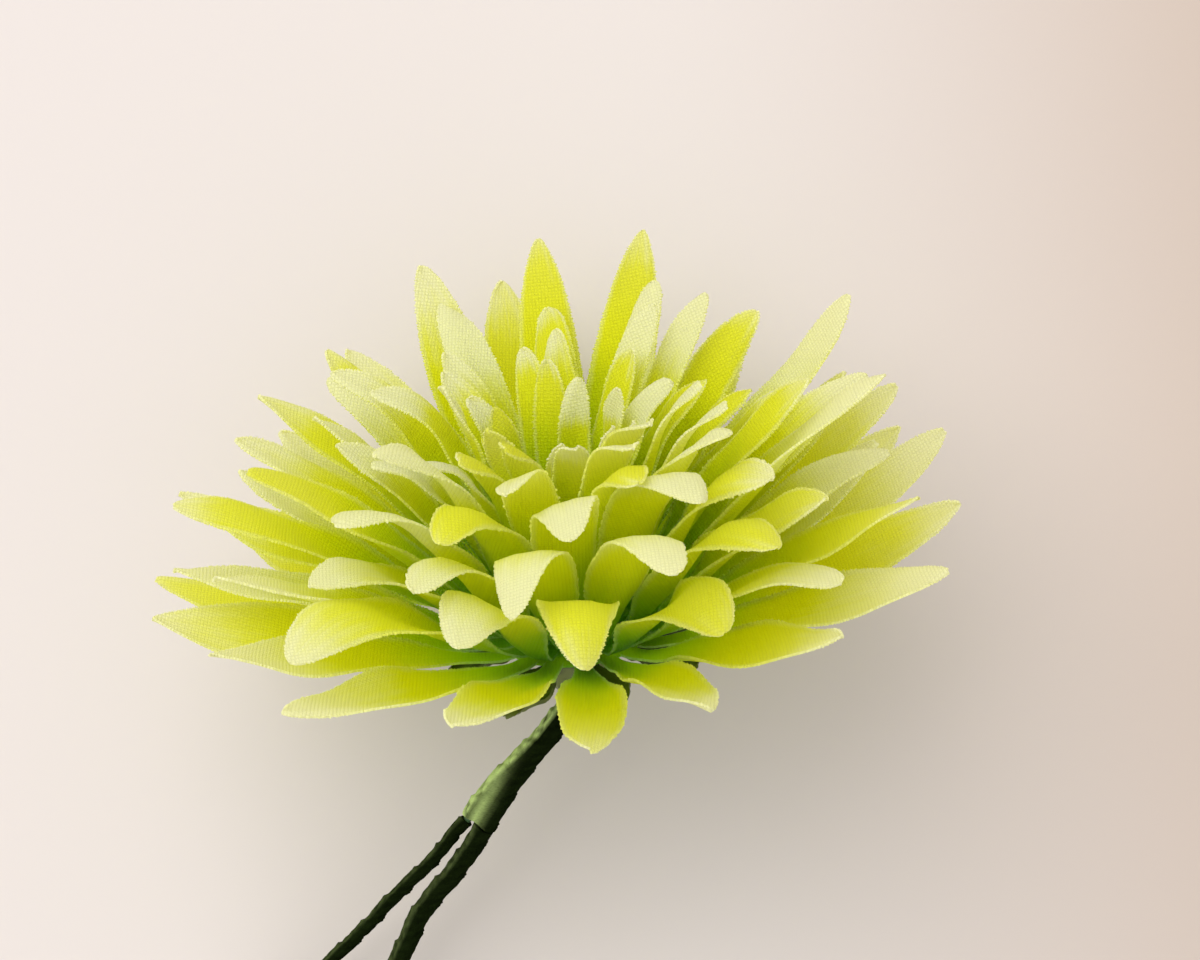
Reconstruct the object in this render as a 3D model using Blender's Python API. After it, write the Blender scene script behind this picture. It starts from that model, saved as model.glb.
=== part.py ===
"""Chrysanthemum boutonniere: a fabric bloom on taped florist's wires, lying on a table.

Petal discs are threaded on a plastic pin above a calyx. The stem wire runs from the pin to its
cut end, and a second wire leaves it at a fork. The bloom rests on its rim petals, and both wires
reach down to the table. The origin is the middle of the whole object, on the table.
"""

import math
from dataclasses import dataclass

import bmesh
import bpy
import numpy as np
from mathutils import Matrix, Vector

MM = 0.001

# How the bloom lies: where its hub is, and how far its axis rises above the table
HUB = (6.89 * MM, 10.85 * MM, 24.0 * MM)
AXIS_RISE = math.radians(30)
BACKWARD = 90.0  # the azimuth of the petals that point down to the table

# Fabric blades and the stack of discs
BLADE = 0.6 * MM
DISC_PITCH = 0.95 * MM
DISC_HOLE = 1.6 * MM

# Pin and calyx
PIN_RADIUS = 1.1 * MM
PIN_TOP = 9.9 * MM
PIN_BOTTOM = -3.6 * MM
PIN_BORE = 0.68 * MM
PIN_BORE_TOP = 3.0 * MM
PIN_SIDES = 16
CALYX_HEIGHT = -0.55 * MM
NECK_TOP_RADIUS = 3.2 * MM
NECK_BOTTOM_RADIUS = 1.9 * MM
NECK_BOTTOM = -4.8 * MM
NECK_SIDES = 24

# Wires and their tape
STEM_WIRE_RADIUS = 0.5 * MM
SIDE_WIRE_RADIUS = 0.35 * MM
STEM_TAPE_RADIUS = 1.08 * MM
LEG_TAPE_RADIUS = 0.90 * MM
SIDE_TAPE_RADIUS = 0.58 * MM
MOUTH_WALL = 0.42 * MM
TAPE_CLEARANCE = 0.14 * MM
WIRES_APART = 1.58 * MM
BARE_END = 1.5 * MM
ROUTE_STEP = 2.6 * MM
SIDE_STEP = 1.9 * MM

# Routes from the hub, in millimetres: the stem below the calyx, and the wire that leaves it
STEM_ROUTE = (
    (0.0, -4.6, -2.66),
    (-6.2, -11.2, -7.4),
    (-10.1, -16.4, -11.0),
    (-12.7, -19.4, -13.1),
    (-14.7, -21.3, -14.6),
    (-16.3, -23.2, -16.0),
    (-18.4, -26.8, -18.1),
    (-21.4, -31.4, -20.6),
    (-24.9, -36.1, -22.4),
    (-28.4, -40.7, -23.1),
    (-32.1, -45.1, -23.1),
    (-36.3, -51.5, -23.1),
    (-40.0, -58.0, -23.1),
)
SIDE_ROUTE = (
    (-12.3, -15.9, -11.0),
    (-13.9, -17.6, -12.2),
    (-16.1, -19.4, -13.6),
    (-18.3, -21.1, -15.0),
    (-20.7, -23.2, -16.6),
    (-24.5, -26.2, -19.0),
    (-28.4, -29.3, -21.3),
    (-32.8, -32.5, -23.0),
    (-37.2, -35.4, -23.42),
    (-42.6, -38.6, -23.42),
    (-47.6, -41.6, -23.42),
)
# How far down the stem its tape ends and the wires part
FORK = 24.4 * MM


@dataclass
class Whorl:
    """One die-cut disc of petals, or the calyx's sepals. Lengths in millimetres, angles in degrees."""

    name: str
    count: int
    disc: float  # disc radius
    length: float  # from the disc's rim to the petal's tip
    width: float
    lift: float  # mean slope of the petal above the disc's plane
    bow: float  # how much steeper the tip is than the base
    tip: float  # mean turn of the tip, down and outward when negative
    cup: float  # how far the edges stand above the midrib
    point: float  # 1 is a sharp tip, 0 a round one
    phase: float  # azimuth of the first petal
    follow: float  # share of the lowest petals' unevenness that this disc has too
    front: float  # how much steeper the petals on the upper side stand
    back: float  # how much steeper those on the table's side stand
    roll: float  # how far the tips on the upper side roll over
    turn: float  # largest random change of azimuth
    stray: float  # largest random change of lift
    curl: float  # largest random turn of the tip
    stations: tuple  # where the petal is cut across, as shares of its length
    seed: int


LONG = (0.0, 0.06, 0.27, 0.52, 0.77, 0.93, 1.0)
SHORT = (0.0, 0.09, 0.20, 0.50, 0.80, 1.0)

WHORLS = (
    Whorl("petal_whorl_1", 17, 6.4, 32.0, 7.0, 13, 12, 0, 1.3, 0.8, 11, 1.0, 0, 0, 0, 0, 0, 8, LONG, 565),
    Whorl("petal_whorl_2", 16, 6.2, 32.0, 6.6, 23, 14, 0, 1.4, 0.7, 2, 0.8, 21, 3, 110, 4, 3, 16, LONG, 84),
    Whorl("petal_whorl_3", 16, 5.9, 33.0, 5.8, 33, 14, -8, 1.4, 0.6, 12, 0.5, 20, 6, 92, 4, 2, 14, LONG, 333),
    Whorl("petal_whorl_4", 16, 5.5, 34.0, 5.5, 43, 10, -16, 1.2, 0.5, 1, 0.3, 18, 6, 74, 4, 3, 18, LONG, 213),
    Whorl("petal_whorl_5", 13, 5.0, 30.0, 4.4, 54, 4, -30, 1.0, 0.2, 8, 0.1, 12, 4, 50, 4, 3, 20, LONG, 58),
    Whorl("petal_whorl_6", 9, 4.5, 26.0, 3.8, 63, 2, -30, 0.8, 0.1, 3, 0.0, 7, 2, 26, 4, 2, 18, SHORT, 5),
    Whorl("petal_whorl_7", 9, 3.9, 23.5, 3.6, 71, 0, -36, 0.7, 0.1, 14, 0.0, 4, 0, 22, 6, 3, 22, SHORT, 5),
    Whorl("petal_whorl_8", 8, 3.3, 20.0, 3.4, 79, -2, -30, 0.5, 0.1, 5, 0.0, 1, 0, 12, 6, 3, 22, SHORT, 2),
    Whorl("centre_tuft", 6, 2.7, 16.0, 2.8, 85, -2, -18, 0.4, 0.1, 20, 0.0, 0, 0, 6, 6, 2, 18, SHORT, 643),
)
CALYX = Whorl("calyx", 8, 4.6, 8.4, 4.8, -7, 12, 0, 0.6, 0.8, 12, 0.3, 0, 0, 0, 5, 3, 12, SHORT, 1)

# The lowest disc's petals one by one: azimuth, lift, turn of the tip and share of full length
LOWEST = (
    (11, 23, 6, 0.97),
    (33, 15, 4, 0.96),
    (55, 8, 0, 1.0),
    (78, 9, 0, 0.98),
    (101, 9, 0, 0.97),
    (123, 8, 0, 1.0),
    (145, 6, 4, 0.95),
    (167, 7, 2, 0.98),
    (188, 13, 4, 0.95),
    (208, 19, -4, 0.93),
    (229, 17, -6, 0.96),
    (251, 18, -8, 0.78),
    (274, 10, -16, 0.62),
    (295, 16, -14, 0.70),
    (314, 20, -6, 0.82),
    (333, 21, 0, 0.95),
    (352, 22, 0, 0.93),
)


# Colours, linear, and roughness
OUTER_GREEN = (0.72, 0.74, 0.22)
INNER_GREEN = (0.50, 0.60, 0.02)
CALYX_GREEN = (0.07, 0.13, 0.02)
PIN_GREEN = (0.20, 0.42, 0.04)
WIRE_GREEN = (0.05, 0.13, 0.03)
TAPE_GREEN = (0.05, 0.10, 0.02)
FABRIC_ROUGHNESS = 0.75
CALYX_ROUGHNESS = 0.6
PIN_ROUGHNESS = 0.45
WIRE_ROUGHNESS = 0.4
TAPE_ROUGHNESS = 0.8


def clear_scene():
    for obj in list(bpy.data.objects):
        bpy.data.objects.remove(obj)


def add_object(name, mesh, colour, roughness):
    """A part with a finish of its own."""
    finish = bpy.data.materials.new(f"{name}_finish")
    finish.use_nodes = True
    surface = finish.node_tree.nodes["Principled BSDF"]
    surface.inputs["Base Color"].default_value = (*colour, 1.0)
    surface.inputs["Roughness"].default_value = roughness
    surface.inputs["Metallic"].default_value = 0.0
    obj = bpy.data.objects.new(name, mesh)
    bpy.context.scene.collection.objects.link(obj)
    obj.data.materials.append(finish)
    return obj


def mesh_from(name, points, faces):
    mesh = bpy.data.meshes.new(name)
    mesh.from_pydata([tuple(p) for p in points], [], [tuple(f) for f in faces])
    mesh.update()
    return mesh


def bloom_matrix():
    """From the bloom's own frame, with its axis along +Z, to the table's."""
    tip_over = Matrix.Rotation(AXIS_RISE - math.pi / 2, 4, "X")
    return Matrix.Translation(HUB) @ tip_over


def smooth_step(x):
    x = np.clip(x, 0.0, 1.0)
    return x * x * (3 - 2 * x)


def petal_outline(t, point):
    """Half width at fraction t of the length, as a share of the largest half width."""
    widest = 0.56
    base = 0.26
    rise = base + (1 - base) * np.sin(np.clip(t / widest, 0, 1) * math.pi / 2) ** 1.7
    fall = np.clip((t - widest) / (1 - widest), 0, 1)
    sharp = 1 - fall**1.9
    blunt = np.sqrt(np.clip(1 - fall**2.6, 0, 1))
    return rise * (point * sharp + (1 - point) * blunt)


@dataclass
class Pose:
    """How one petal stands: azimuth, lift and turn of the tip in degrees, lean in millimetres."""

    azimuth: float
    lift: float
    tip: float
    lean: float
    twist: float
    share: float
    point: float


def raised(azimuth):
    """How much higher the lowest petals stand at this azimuth than on average."""
    table = np.array(LOWEST, float)
    return np.interp(azimuth, table[:, 0], table[:, 1], period=360.0) - WHORLS[0].lift


def petal_poses(whorl):
    """The petals of a whorl, evenly spaced with seeded strays."""
    draw = np.random.default_rng(whorl.seed)
    poses = []
    for k in range(whorl.count):
        if whorl.name == "petal_whorl_1":
            azimuth, lift, tip, share = LOWEST[k]
        else:
            azimuth = whorl.phase + 360.0 * k / whorl.count + draw.uniform(-1, 1) * whorl.turn
            upper = front_share(azimuth) ** 4
            lower = (1 - front_share(azimuth)) ** 2
            lift = whorl.lift + whorl.follow * raised(azimuth)
            lift += whorl.front * upper + whorl.back * lower
            tip = whorl.tip - whorl.roll * upper
            share = 1 - 0.22 * draw.random()
        lift += draw.uniform(-1, 1) * whorl.stray
        tip += draw.uniform(-1, 1) * whorl.curl
        lean = draw.uniform(-1, 1) * 0.05 * whorl.length
        twist = draw.uniform(-1, 1) * (22 if whorl.point > 0.3 else 32)
        twist += 12 * math.cos(math.radians(azimuth))
        blunt = 1 - 0.9 * min(1.0, max(0.0, -tip / 80))
        point = float(np.clip(whorl.point * blunt + draw.uniform(-0.25, 0.15), 0, 1))
        poses.append(Pose(azimuth, lift, tip, lean, twist, share, point))
    return poses


def petal_sheet(whorl, pose, stations):
    """Points of one petal's middle sheet in the bloom's frame, rows by three columns."""
    t = np.array(stations)
    length = whorl.length * pose.share * MM
    fine = np.linspace(0, 1, 121)
    slope = pose.lift + whorl.bow * (fine - 0.5) + pose.tip * smooth_step((fine - 0.6) / 0.4)
    slope = np.radians(slope) * smooth_step(fine * length / (2.0 * MM))
    step = length / (len(fine) - 1)
    out = whorl.disc * MM + np.concatenate([[0], np.cumsum(np.cos(slope)[:-1])]) * step
    rise = np.concatenate([[0], np.cumsum(np.sin(slope)[:-1])]) * step
    out, rise, slope = (np.interp(t, fine, v) for v in (out, rise, slope))
    width = whorl.width * (0.4 + 0.6 * min(1.0, pose.share + 0.1)) * MM
    half = np.maximum(width / 2 * petal_outline(t, pose.point), 0.45 * MM)
    cup = whorl.cup * MM * smooth_step(t / 0.35) * half / half.max()
    cup *= 1 - (0.8 + min(0.8, max(0.0, -pose.tip / 100))) * smooth_step((t - 0.45) / 0.35)
    turn = np.radians(pose.twist) * smooth_step(t)
    drift = pose.lean * MM * t**2
    points = []
    for i in range(len(t)):
        above = np.array([-math.sin(slope[i]), 0.0, math.cos(slope[i])])
        across = np.array([0.0, 1.0, 0.0])
        left = across * math.cos(turn[i]) + above * math.sin(turn[i])
        top = above * math.cos(turn[i]) - across * math.sin(turn[i])
        middle = np.array([out[i], drift[i], rise[i]])
        for u in (-1.0, 0.0, 1.0):
            points.append(middle + left * half[i] * u + top * cup[i] * u * u)
    a = math.radians(pose.azimuth)
    spin = np.array([[math.cos(a), -math.sin(a), 0], [math.sin(a), math.cos(a), 0], [0, 0, 1]])
    return np.array(points) @ spin.T


def press_on_table(points):
    """Bends what would pass through the table flat onto it."""
    to_table = np.array(bloom_matrix())
    laid = points @ to_table[:3, :3].T + to_table[:3, 3]
    low = BLADE * 0.52
    soft = 0.5 * MM
    laid[:, 2] = low + soft * np.logaddexp(0.0, (laid[:, 2] - low) / soft)
    return (laid - to_table[:3, 3]) @ to_table[:3, :3]


def die_cut(whorl, poses, height, colour, roughness):
    """A disc with its petals, cut in one piece from a sheet and given the blade's thickness."""
    count = len(poses)
    points, faces = [], []
    rows = len(whorl.stations)
    for k in range(count):
        a = math.radians(whorl.phase + 360.0 * k / count)
        points.append(np.array([math.cos(a) * DISC_HOLE, math.sin(a) * DISC_HOLE, 0.0]))
    for k, pose in enumerate(poses):
        points.extend(petal_sheet(whorl, pose, whorl.stations))
        first = count + 3 * rows * k
        after = count + 3 * rows * ((k + 1) % count)
        here, there = k, (k + 1) % count
        faces += [(here, first, first + 1), (here, first + 1, first + 2)]
        faces += [(here, first + 2, there), (first + 2, after, there)]
        for i in range(rows - 1):
            a, b = first + 3 * i, first + 3 * i + 3
            faces += [(a, b, b + 1), (a, b + 1, a + 1)]
            faces += [(a + 1, b + 1, a + 2), (b + 1, b + 2, a + 2)]
    points = press_on_table(np.array(points) + (0, 0, height))
    obj = add_object(whorl.name, mesh_from(whorl.name, points, faces), colour, roughness)
    thick = obj.modifiers.new("thickness", "SOLIDIFY")
    thick.thickness = BLADE
    thick.offset = 0.0
    thick.use_even_offset = True
    return obj


def turned(name, profile, sides, colour, roughness):
    """A solid turned round the bloom's axis from (radius, height) corners."""
    bm = bmesh.new()
    corners = [bm.verts.new((r, 0, z)) for r, z in profile]
    edges = []
    for a, b in zip(corners, corners[1:] + corners[:1]):
        if a.co.x > 0 or b.co.x > 0:
            edges.append(bm.edges.new((a, b)))
    bmesh.ops.spin(
        bm, geom=corners + edges, cent=(0, 0, 0), axis=(0, 0, 1), angle=math.tau, steps=sides
    )
    bmesh.ops.remove_doubles(bm, verts=bm.verts, dist=1e-7)
    bmesh.ops.recalc_face_normals(bm, faces=bm.faces)
    mesh = bpy.data.meshes.new(name)
    bm.to_mesh(mesh)
    bm.free()
    mesh.shade_smooth()
    return add_object(name, mesh, colour, roughness)


def join_pair(base, other):
    """Fuses a second solid into base, and removes it."""
    pile = bpy.data.collections.new("to_join")
    pile.objects.link(other)
    union = base.modifiers.new("join", "BOOLEAN")
    union.operation = "UNION"
    union.operand_type = "COLLECTION"
    union.collection = pile
    union.solver = "EXACT"
    bpy.context.view_layer.update()
    graph = bpy.context.evaluated_depsgraph_get()
    joined = bpy.data.meshes.new_from_object(base.evaluated_get(graph))
    base.modifiers.clear()
    base.data = joined
    bpy.data.objects.remove(other)
    bpy.data.collections.remove(pile)
    return base


def front_share(azimuth):
    """0 for a petal on the side that lies on the table, 1 for one on the other side."""
    return 0.5 - 0.5 * math.cos(math.radians(azimuth - BACKWARD))


def build_bloom():
    made = []
    for level, whorl in enumerate(WHORLS):
        share = level / (len(WHORLS) - 1)
        colour = tuple(a + (b - a) * share for a, b in zip(OUTER_GREEN, INNER_GREEN))
        height = (level + 0.5) * DISC_PITCH
        made.append(die_cut(whorl, petal_poses(whorl), height, colour, FABRIC_ROUGHNESS))
    return made


def build_calyx():
    """The sepals' disc, with the neck that narrows to the stem below it."""
    sepals = die_cut(CALYX, petal_poses(CALYX), CALYX_HEIGHT, CALYX_GREEN, CALYX_ROUGHNESS)
    profile = [
        (DISC_HOLE, CALYX_HEIGHT),
        (DISC_HOLE, NECK_BOTTOM),
        (NECK_BOTTOM_RADIUS, NECK_BOTTOM),
        (NECK_TOP_RADIUS, CALYX_HEIGHT),
    ]
    return join_pair(sepals, turned("neck", profile, NECK_SIDES, CALYX_GREEN, CALYX_ROUGHNESS))


def build_pin():
    """The plastic pin, with a blind bore from below for the stem wire."""
    profile = [
        (PIN_BORE, PIN_BOTTOM),
        (PIN_RADIUS, PIN_BOTTOM),
        (PIN_RADIUS, PIN_TOP - 0.5 * MM),
        (PIN_RADIUS * 0.5, PIN_TOP),
        (0, PIN_TOP),
        (0, PIN_BORE_TOP),
        (PIN_BORE, PIN_BORE_TOP),
    ]
    return turned("hub_pin", profile, PIN_SIDES, PIN_GREEN, PIN_ROUGHNESS)


def smooth_route(points, step):
    """A Catmull-Rom curve through the points, sampled about every step."""
    p = np.array(points, float)
    p = np.vstack([2 * p[0] - p[1], p, 2 * p[-1] - p[-2]])
    fine = []
    for i in range(1, len(p) - 2):
        s = np.linspace(0, 1, 24, endpoint=False)[:, None]
        fine.append(
            0.5
            * (
                2 * p[i]
                + (p[i + 1] - p[i - 1]) * s
                + (2 * p[i - 1] - 5 * p[i] + 4 * p[i + 1] - p[i + 2]) * s**2
                + (3 * p[i] - p[i - 1] - 3 * p[i + 1] + p[i + 2]) * s**3
            )
        )
    fine = np.vstack([*fine, p[-2:-1]])
    far = np.concatenate([[0], np.cumsum(np.linalg.norm(np.diff(fine, axis=0), axis=1))])
    count = max(2, round(far[-1] / step) + 1)
    even = np.linspace(0, far[-1], count)
    return np.column_stack([np.interp(even, far, fine[:, k]) for k in range(3)])


def distances(route):
    return np.concatenate([[0], np.cumsum(np.linalg.norm(np.diff(route, axis=0), axis=1))])


def part_of(route, start, stop):
    """The stations between two distances along a route, with its two cut ends."""
    far = distances(route)
    inside = [d for d in far if start + 0.3 * MM < d < stop - 0.3 * MM]
    even = [start, *inside, stop]
    return np.column_stack([np.interp(even, far, route[:, k]) for k in range(3)])


def route_frames(route):
    """A sideways and an upward direction at each point, square to the route."""
    along = np.gradient(route, distances(route), axis=0)
    along /= np.linalg.norm(along, axis=1)[:, None]
    side = np.cross(along, (0, 0, 1))
    side /= np.linalg.norm(side, axis=1)[:, None]
    return side, np.cross(side, along)


def sweep(name, route, loops, colour, roughness):
    """A rod of one loop, or a sleeve of an outer and an inner one, swept along a route.

    Each loop is a function of the station's index that gives (side, up) pairs.
    """
    side, up = route_frames(route)
    points, faces = [], []
    last = len(route) - 1
    n = len(loops[0](0))
    for loop in loops:
        for i in range(last + 1):
            points += [route[i] + side[i] * s + up[i] * v for s, v in loop(i)]
    for layer in range(len(loops)):
        for i in range(last):
            for k in range(n):
                a = (layer * (last + 1) + i) * n
                quad = (a + k, a + (k + 1) % n, a + n + (k + 1) % n, a + n + k)
                faces.append(quad if layer == 0 else quad[::-1])
    if len(loops) == 1:
        faces += [tuple(range(n))[::-1], tuple(last * n + k for k in range(n))]
    else:
        inner = (last + 1) * n
        for k in range(n):
            a, b = k, (k + 1) % n
            faces.append((b, a, inner + a, inner + b))
            c, d = last * n + a, last * n + b
            faces.append((c, d, inner + d, inner + c))
    mesh = mesh_from(name, points, faces)
    bm = bmesh.new()
    bm.from_mesh(mesh)
    bmesh.ops.recalc_face_normals(bm, faces=bm.faces)
    bm.to_mesh(mesh)
    bm.free()
    mesh.shade_smooth()
    return add_object(name, mesh, colour, roughness)


def circle(radius, sides):
    turns = [math.tau * (k + 0.5) / sides for k in range(sides)]
    return [(radius * math.cos(a), radius * math.sin(a)) for a in turns]


def pair_loop(share, apart, first, second, sides):
    """A loop round a first rod that grows, as share goes to 1, to take in a second one beside it."""
    loop = []
    for s, v in circle(1.0, sides):
        towards = smooth_step((s + 0.35) / 0.7) * share
        radius = first + (second - first) * towards
        loop.append((apart * towards + radius * s, radius * v))
    return loop


def build_stem():
    axis = np.array(bloom_matrix().to_3x3() @ Vector((0, 0, 1)))
    hub = np.array(HUB)
    top = hub + axis * (PIN_BORE_TOP - 0.4 * MM)
    low = hub + axis * (PIN_BOTTOM + 0.6 * MM)
    stem = smooth_route([top, low, *[hub + np.array(p) * MM for p in STEM_ROUTE]], ROUTE_STEP)
    end = distances(stem)[-1]
    neck_end = PIN_BORE_TOP - 0.4 * MM - NECK_BOTTOM + 0.2 * MM
    tape = part_of(stem, neck_end, FORK)
    leg = part_of(stem, FORK + 0.2 * MM, end - BARE_END)
    steps = len(tape) - 1

    def share(i):
        return float(smooth_step((i / steps - 0.35) / 0.65))

    def mouth(i, reach):
        plain = STEM_TAPE_RADIUS - STEM_WIRE_RADIUS
        wall = plain + (MOUTH_WALL - plain) * share(i)
        first = STEM_WIRE_RADIUS + wall - reach * (wall - TAPE_CLEARANCE)
        second = SIDE_WIRE_RADIUS + wall - reach * (wall - TAPE_CLEARANCE)
        return pair_loop(share(i), WIRES_APART, first, second, 12)

    beside, _ = route_frames(tape)
    inside = [tape[i] + beside[i] * WIRES_APART * share(i) for i in (steps - 1, steps)]
    side = smooth_route([*inside, *[hub + np.array(p) * MM for p in SIDE_ROUTE]], SIDE_STEP)
    side_start = float(np.linalg.norm(inside[1] - inside[0])) + 0.5 * MM
    side_leg = part_of(side, side_start, distances(side)[-1] - BARE_END)
    bore = STEM_WIRE_RADIUS + TAPE_CLEARANCE
    side_bore = SIDE_WIRE_RADIUS + TAPE_CLEARANCE
    mouth_loops = [lambda i: mouth(i, 0), lambda i: mouth(i, 1)]
    leg_loops = [lambda i: circle(LEG_TAPE_RADIUS, 10), lambda i: circle(bore, 10)]
    side_loops = [lambda i: circle(SIDE_TAPE_RADIUS, 8), lambda i: circle(side_bore, 8)]
    wire_loop = [lambda i: circle(STEM_WIRE_RADIUS, 8)]
    side_wire_loop = [lambda i: circle(SIDE_WIRE_RADIUS, 8)]
    sweep("stem_wire", stem, wire_loop, WIRE_GREEN, WIRE_ROUGHNESS)
    sweep("side_wire", side, side_wire_loop, WIRE_GREEN, WIRE_ROUGHNESS)
    sweep("stem_tape", tape, mouth_loops, TAPE_GREEN, TAPE_ROUGHNESS)
    sweep("leg_tape", leg, leg_loops, TAPE_GREEN, TAPE_ROUGHNESS)
    sweep("side_tape", side_leg, side_loops, TAPE_GREEN, TAPE_ROUGHNESS)


def main():
    clear_scene()
    bloom = bpy.data.objects.new("bloom_frame", None)
    bloom.matrix_world = bloom_matrix()
    bpy.context.scene.collection.objects.link(bloom)
    for obj in [*build_bloom(), build_calyx(), build_pin()]:
        obj.parent = bloom
    build_stem()


main()
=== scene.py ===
"""Chrysanthemum boutonniere: woven petals, a moulded calyx, taped wires and the table they lie on."""

import math
from dataclasses import dataclass

import bpy
import numpy as np
from mathutils import Matrix, Vector, noise


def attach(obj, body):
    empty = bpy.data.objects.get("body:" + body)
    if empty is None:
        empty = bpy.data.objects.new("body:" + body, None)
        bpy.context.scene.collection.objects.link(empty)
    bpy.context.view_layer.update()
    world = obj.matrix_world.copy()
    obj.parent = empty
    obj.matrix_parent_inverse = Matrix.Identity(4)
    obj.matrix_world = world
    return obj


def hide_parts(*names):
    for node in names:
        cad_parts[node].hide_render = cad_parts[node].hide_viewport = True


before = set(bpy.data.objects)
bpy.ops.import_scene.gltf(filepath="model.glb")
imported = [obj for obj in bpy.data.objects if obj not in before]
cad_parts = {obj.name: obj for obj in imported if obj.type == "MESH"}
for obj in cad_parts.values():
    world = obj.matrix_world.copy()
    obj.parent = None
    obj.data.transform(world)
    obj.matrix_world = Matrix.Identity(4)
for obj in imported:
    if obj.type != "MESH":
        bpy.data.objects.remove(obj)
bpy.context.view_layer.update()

bl_info = {
    "name": "Chrysanthemum Boutonniere",
    "version": (1, 0, 0),
    "blender": (4, 5, 0),
    "location": "View3D > Sidebar > Boutonniere",
    "description": "Builds a cloth chrysanthemum on taped florist's wires",
    "category": "Object",
}

MM = 0.001
CM = 0.01

# How the bloom lies
HUB = np.array((6.89, 10.85, 24.0)) * MM
AXIS_RISE = math.radians(30)
BACKWARD = 90.0
DISC_PITCH = 0.95 * MM
DISC_HOLE = 1.6 * MM
PIN_BORE_TOP = 3.0 * MM
PIN_BOTTOM = -3.6 * MM
NECK_BOTTOM = -4.8 * MM
CALYX_HEIGHT = -0.55 * MM

# Wires and sleeves, and the routes of the wires from the hub in millimetres
STEM_WIRE = 0.5 * MM
SIDE_WIRE = 0.35 * MM
STEM_TAPE = 1.08 * MM
LEG_TAPE = 0.90 * MM
SIDE_TAPE = 0.58 * MM
MOUTH_WALL = 0.42 * MM
WIRES_APART = 1.58 * MM
BARE_END = 1.5 * MM
FORK = 24.4 * MM
WIRE_SIDES = 20
SLEEVE_SIDES = 36
SLEEVE_STEP = 0.22 * MM
TAPE_GAP = 0.05 * MM
STEM_ROUTE = (
    (0.0, -4.6, -2.66),
    (-6.2, -11.2, -7.4),
    (-10.1, -16.4, -11.0),
    (-12.7, -19.4, -13.1),
    (-14.7, -21.3, -14.6),
    (-16.3, -23.2, -16.0),
    (-18.4, -26.8, -18.1),
    (-21.4, -31.4, -20.6),
    (-24.9, -36.1, -22.4),
    (-28.4, -40.7, -23.1),
    (-32.1, -45.1, -23.1),
    (-36.3, -51.5, -23.1),
    (-40.0, -58.0, -23.1),
)
SIDE_ROUTE = (
    (-12.3, -15.9, -11.0),
    (-13.9, -17.6, -12.2),
    (-16.1, -19.4, -13.6),
    (-18.3, -21.1, -15.0),
    (-20.7, -23.2, -16.6),
    (-24.5, -26.2, -19.0),
    (-28.4, -29.3, -21.3),
    (-32.8, -32.5, -23.0),
    (-37.2, -35.4, -23.42),
    (-42.6, -38.6, -23.42),
    (-47.6, -41.6, -23.42),
)


@dataclass
class Whorl:
    """A die-cut disc of petals. Lengths in millimetres, angles in degrees.

    disc is its radius and phase the first petal's azimuth. A petal rises at lift, its slope changes by
    bow from end to end and by tip in the last part, its sides rise by cup, and its end is blunt where
    point is 0 and pointed where it is 1. Petals rise with the lowest disc's as far as follow says, and
    more by front or back on either side, and roll turns the front ones' tips down. turn, stray and curl
    are how far azimuth, lift and tip may stray.
    """

    name: str
    count: int
    disc: float
    length: float
    width: float
    lift: float
    bow: float
    tip: float
    cup: float
    point: float
    phase: float
    follow: float
    front: float
    back: float
    roll: float
    turn: float
    stray: float
    curl: float
    seed: int


WHORLS = (
    Whorl("petal_whorl_1", 17, 6.4, 32.0, 7.0, 13, 12, 0, 1.3, 0.8, 11, 1.0, 0, 0, 0, 0, 0, 8, 565),
    Whorl("petal_whorl_2", 16, 6.2, 32.0, 6.6, 23, 14, 0, 1.4, 0.7, 2, 0.8, 21, 3, 110, 4, 3, 16, 84),
    Whorl("petal_whorl_3", 16, 5.9, 33.0, 5.8, 33, 14, -8, 1.4, 0.6, 12, 0.5, 20, 6, 92, 4, 2, 14, 333),
    Whorl("petal_whorl_4", 16, 5.5, 34.0, 5.5, 43, 10, -16, 1.2, 0.5, 1, 0.3, 18, 6, 74, 4, 3, 18, 213),
    Whorl("petal_whorl_5", 13, 5.0, 30.0, 4.4, 54, 4, -30, 1.0, 0.2, 8, 0.1, 12, 4, 50, 4, 3, 20, 58),
    Whorl("petal_whorl_6", 9, 4.5, 26.0, 3.8, 63, 2, -30, 0.8, 0.1, 3, 0.0, 7, 2, 26, 4, 2, 18, 5),
    Whorl("petal_whorl_7", 9, 3.9, 23.5, 3.6, 71, 0, -36, 0.7, 0.1, 14, 0.0, 4, 0, 22, 6, 3, 22, 5),
    Whorl("petal_whorl_8", 8, 3.3, 20.0, 3.4, 79, -2, -30, 0.5, 0.1, 5, 0.0, 1, 0, 12, 6, 3, 22, 2),
    Whorl("centre_tuft", 6, 2.7, 16.0, 2.8, 85, -2, -18, 0.4, 0.1, 20, 0.0, 0, 0, 6, 6, 2, 18, 643),
)
CALYX = Whorl("calyx", 8, 4.6, 8.4, 4.8, -7, 12, 0, 0.6, 0.8, 12, 0.3, 0, 0, 0, 5, 3, 12, 1)

# The lowest disc's petals: azimuth, lift, turn of the tip and share of full length
LOWEST = (
    (11, 23, 6, 0.97),
    (33, 15, 4, 0.96),
    (55, 8, 0, 1.0),
    (78, 9, 0, 0.98),
    (101, 9, 0, 0.97),
    (123, 8, 0, 1.0),
    (145, 6, 4, 0.95),
    (167, 7, 2, 0.98),
    (188, 13, 4, 0.95),
    (208, 19, -4, 0.93),
    (229, 17, -6, 0.96),
    (251, 18, -8, 0.78),
    (274, 10, -16, 0.62),
    (295, 16, -14, 0.70),
    (314, 20, -6, 0.82),
    (333, 21, 0, 0.95),
    (352, 22, 0, 0.93),
)

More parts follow.
